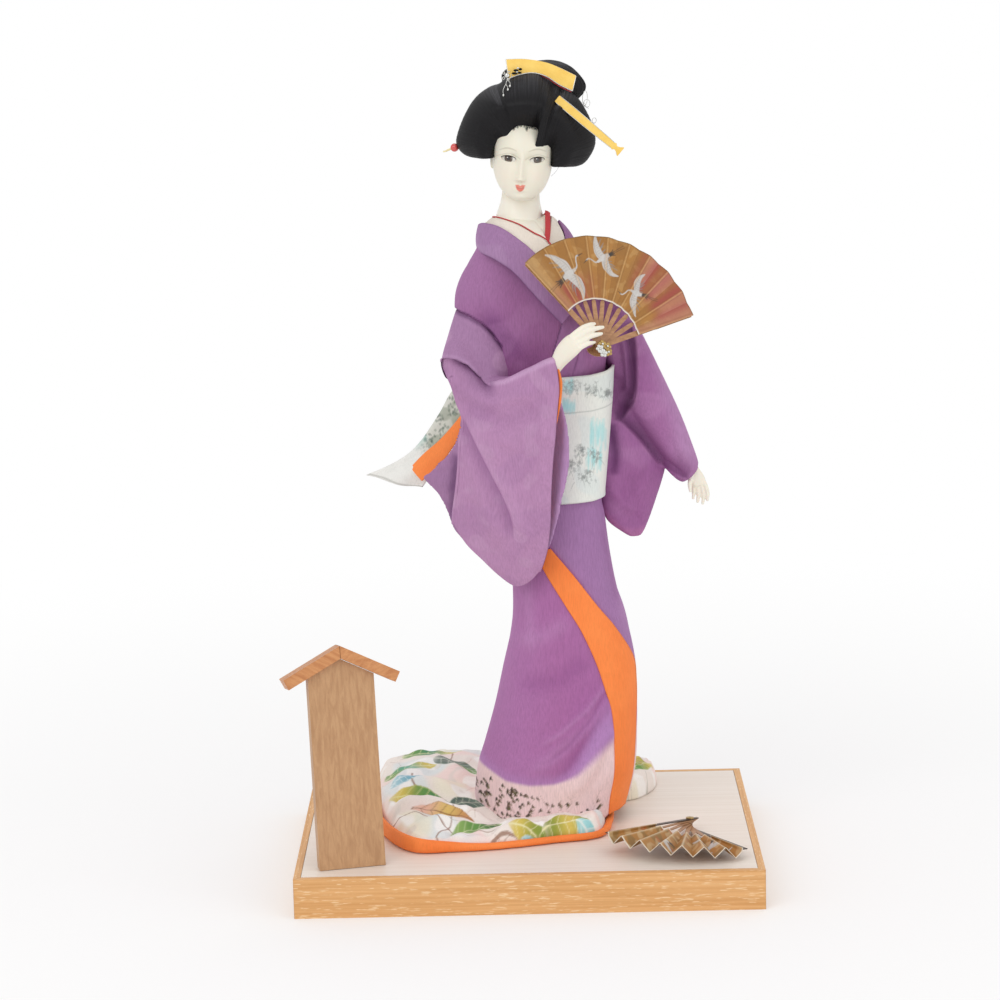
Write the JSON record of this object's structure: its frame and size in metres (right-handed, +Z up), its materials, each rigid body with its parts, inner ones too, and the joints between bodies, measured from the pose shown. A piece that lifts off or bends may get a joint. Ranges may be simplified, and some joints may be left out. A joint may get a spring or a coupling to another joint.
{
  "type": "costumed display doll",
  "caption": "Standing geisha doll in a purple kimono with an open folding fan, on a wooden base with a name board and a second fan.",
  "frame": {"origin": "centre of the whole part's footprint, on the surface that the base stands on; the base's own centre lies 3.4 mm along +X because the name board's roof overhangs on the left", "axes": "+Z up, the doll faces -Y, +X to the viewer's right"},
  "size_m": [0.2768, 0.21, 0.4787],
  "materials": {
    "base_wood": "satin lacquered golden beech",
    "panel_wood": "pale maple veneer, satin",
    "board_wood": "plain planed cedar",
    "steel_wire": "plain",
    "straw": "straw and paper stuffing",
    "purple_silk": "matt crepe weave",
    "orange_silk": "plain weave lining",
    "red_silk": "plain weave",
    "cream_silk": "plain weave",
    "obi_brocade": "off-white brocade with turquoise patches",
    "print_silk": "printed leaves on pale silk",
    "skin": "white shell-powder paint",
    "hair": "glossy combed strands",
    "gilt": "yellow-gold lacquer",
    "coral": "polished bead",
    "silver": "silver wire",
    "bamboo": "stained bamboo",
    "fan_paper": "gold-brown printed paper",
    "brass": "polished"
  },
  "bodies": {
    "doll_and_base": {"base_front_rail": "base_wood", "base_back_rail": "base_wood", "base_left_rail": "base_wood", "base_right_rail": "base_wood", "base_top_panel": "panel_wood", "leg_rod_left": "steel_wire", "leg_rod_right": "steel_wire", "body_core": "straw", "right_arm_core": "straw", "left_arm_core": "straw", "kimono_bodice": "purple_silk", "kimono_skirt": "purple_silk", "kimono_collar": "purple_silk", "right_sleeve": "purple_silk", "left_sleeve": "purple_silk", "right_sleeve_lining": "orange_silk", "skirt_lining": "orange_silk", "red_collar": "red_silk", "under_collar": "cream_silk", "obi_band": "obi_brocade", "obi_knot": "obi_brocade", "obi_tail": "obi_brocade", "hem_train": "print_silk", "right_hand": "skin", "left_hand": "skin", "hand_fan_guard_left": "bamboo", "hand_fan_leaf": "fan_paper", "hand_fan_rivet": "brass"},
    "head_unit": {"head": "skin", "hair_front_roll": "hair", "hair_wing_right": "hair", "hair_wing_left": "hair", "hair_back_roll": "hair", "hair_topknot": "hair", "comb": "gilt", "hair_bar": "gilt", "bead_pin": "coral", "silver_ornament": "silver"},
    "hand_fan_stick_1": {"hand_fan_rib_1": "bamboo"},
    "hand_fan_stick_2": {"hand_fan_rib_2": "bamboo"},
    "hand_fan_stick_3": {"hand_fan_rib_3": "bamboo"},
    "hand_fan_stick_4": {"hand_fan_rib_4": "bamboo"},
    "hand_fan_stick_5": {"hand_fan_rib_5": "bamboo"},
    "hand_fan_stick_6": {"hand_fan_rib_6": "bamboo"},
    "hand_fan_stick_7": {"hand_fan_rib_7": "bamboo"},
    "hand_fan_stick_8": {"hand_fan_rib_8": "bamboo"},
    "hand_fan_stick_9": {"hand_fan_guard_right": "bamboo"},
    "table_fan_held": {"table_fan_guard_left": "bamboo", "table_fan_leaf": "fan_paper", "table_fan_rivet": "brass"},
    "table_fan_stick_1": {"table_fan_rib_1": "bamboo"},
    "table_fan_stick_2": {"table_fan_rib_2": "bamboo"},
    "table_fan_stick_3": {"table_fan_rib_3": "bamboo"},
    "table_fan_stick_4": {"table_fan_rib_4": "bamboo"},
    "table_fan_stick_5": {"table_fan_rib_5": "bamboo"},
    "table_fan_stick_6": {"table_fan_rib_6": "bamboo"},
    "table_fan_stick_7": {"table_fan_guard_right": "bamboo"},
    "name_board": {"board_panel": "board_wood", "board_roof_left": "board_wood", "board_roof_right": "board_wood"}
  },
  "joints": [
    {"name": "head_turn", "type": "hinge", "parent": "doll_and_base", "child": "head_unit", "pos_m": [0.00624, 0.004, 0.388], "axis": [0.061, 0, 0.9981], "range_deg": [-25, 25]},
    {"name": "hand_fan_fold", "type": "hinge", "parent": "doll_and_base", "child": "hand_fan_stick_1", "pos_m": [0.04954, -0.0498, 0.3189], "axis": [0.3469, -0.8859, 0.308], "range_deg": [0, 12.6], "deforming": ["hand_fan_leaf"]},
    {"name": "hand_fan_fold_2", "type": "hinge", "parent": "hand_fan_stick_1", "child": "hand_fan_stick_2", "pos_m": [0.04954, -0.0498, 0.3189], "axis": [0.3469, -0.8859, 0.308], "range_deg": [0, 12.6]},
    {"name": "hand_fan_fold_3", "type": "hinge", "parent": "hand_fan_stick_2", "child": "hand_fan_stick_3", "pos_m": [0.04954, -0.0498, 0.3189], "axis": [0.3469, -0.8859, 0.308], "range_deg": [0, 12.6]},
    {"name": "hand_fan_fold_4", "type": "hinge", "parent": "hand_fan_stick_3", "child": "hand_fan_stick_4", "pos_m": [0.04954, -0.0498, 0.3189], "axis": [0.3469, -0.8859, 0.308], "range_deg": [0, 12.6]},
    {"name": "hand_fan_fold_5", "type": "hinge", "parent": "hand_fan_stick_4", "child": "hand_fan_stick_5", "pos_m": [0.04954, -0.0498, 0.3189], "axis": [0.3469, -0.8859, 0.308], "range_deg": [0, 12.6]},
    {"name": "hand_fan_fold_6", "type": "hinge", "parent": "hand_fan_stick_5", "child": "hand_fan_stick_6", "pos_m": [0.04954, -0.0498, 0.3189], "axis": [0.3469, -0.8859, 0.308], "range_deg": [0, 12.6]},
    {"name": "hand_fan_fold_7", "type": "hinge", "parent": "hand_fan_stick_6", "child": "hand_fan_stick_7", "pos_m": [0.04954, -0.0498, 0.3189], "axis": [0.3469, -0.8859, 0.308], "range_deg": [0, 12.6]},
    {"name": "hand_fan_fold_8", "type": "hinge", "parent": "hand_fan_stick_7", "child": "hand_fan_stick_8", "pos_m": [0.04954, -0.0498, 0.3189], "axis": [0.3469, -0.8859, 0.308], "range_deg": [0, 12.6]},
    {"name": "hand_fan_fold_9", "type": "hinge", "parent": "hand_fan_stick_8", "child": "hand_fan_stick_9", "pos_m": [0.04954, -0.0498, 0.3189], "axis": [0.3469, -0.8859, 0.308], "range_deg": [0, 12.6]},
    {"name": "table_fan_lift", "type": "slide", "parent": "doll_and_base", "child": "table_fan_held", "axis": [0, 0, 1], "range_m": [0, 0.06]},
    {"name": "table_fan_fold", "type": "hinge", "parent": "table_fan_held", "child": "table_fan_stick_1", "pos_m": [0.09944, -0.029, 0.02856], "axis": [-0.0192, -0.0832, -0.9963], "range_deg": [0, 11.4], "deforming": ["table_fan_leaf"]},
    {"name": "table_fan_fold_2", "type": "hinge", "parent": "table_fan_stick_1", "child": "table_fan_stick_2", "pos_m": [0.09944, -0.029, 0.02856], "axis": [-0.0192, -0.0832, -0.9963], "range_deg": [0, 11.4]},
    {"name": "table_fan_fold_3", "type": "hinge", "parent": "table_fan_stick_2", "child": "table_fan_stick_3", "pos_m": [0.09944, -0.029, 0.02856], "axis": [-0.0192, -0.0832, -0.9963], "range_deg": [0, 11.4]},
    {"name": "table_fan_fold_4", "type": "hinge", "parent": "table_fan_stick_3", "child": "table_fan_stick_4", "pos_m": [0.09944, -0.029, 0.02856], "axis": [-0.0192, -0.0832, -0.9963], "range_deg": [0, 11.4]},
    {"name": "table_fan_fold_5", "type": "hinge", "parent": "table_fan_stick_4", "child": "table_fan_stick_5", "pos_m": [0.09944, -0.029, 0.02856], "axis": [-0.0192, -0.0832, -0.9963], "range_deg": [0, 11.4]},
    {"name": "table_fan_fold_6", "type": "hinge", "parent": "table_fan_stick_5", "child": "table_fan_stick_6", "pos_m": [0.09944, -0.029, 0.02856], "axis": [-0.0192, -0.0832, -0.9963], "range_deg": [0, 11.4]},
    {"name": "table_fan_fold_7", "type": "hinge", "parent": "table_fan_stick_6", "child": "table_fan_stick_7", "pos_m": [0.09944, -0.029, 0.02856], "axis": [-0.0192, -0.0832, -0.9963], "range_deg": [0, 11.4]},
    {"name": "board_lift", "type": "slide", "parent": "doll_and_base", "child": "name_board", "axis": [0, 0, 1], "range_m": [0, 0.06]}
  ],
  "couplings": [
    {"joint": "hand_fan_fold_2", "follows": "hand_fan_fold", "ratio": 1},
    {"joint": "hand_fan_fold_3", "follows": "hand_fan_fold", "ratio": 1},
    {"joint": "hand_fan_fold_4", "follows": "hand_fan_fold", "ratio": 1},
    {"joint": "hand_fan_fold_5", "follows": "hand_fan_fold", "ratio": 1},
    {"joint": "hand_fan_fold_6", "follows": "hand_fan_fold", "ratio": 1},
    {"joint": "hand_fan_fold_7", "follows": "hand_fan_fold", "ratio": 1},
    {"joint": "hand_fan_fold_8", "follows": "hand_fan_fold", "ratio": 1},
    {"joint": "hand_fan_fold_9", "follows": "hand_fan_fold", "ratio": 1},
    {"joint": "table_fan_fold_2", "follows": "table_fan_fold", "ratio": 1},
    {"joint": "table_fan_fold_3", "follows": "table_fan_fold", "ratio": 1},
    {"joint": "table_fan_fold_4", "follows": "table_fan_fold", "ratio": 1},
    {"joint": "table_fan_fold_5", "follows": "table_fan_fold", "ratio": 1},
    {"joint": "table_fan_fold_6", "follows": "table_fan_fold", "ratio": 1},
    {"joint": "table_fan_fold_7", "follows": "table_fan_fold", "ratio": 1}
  ]
}
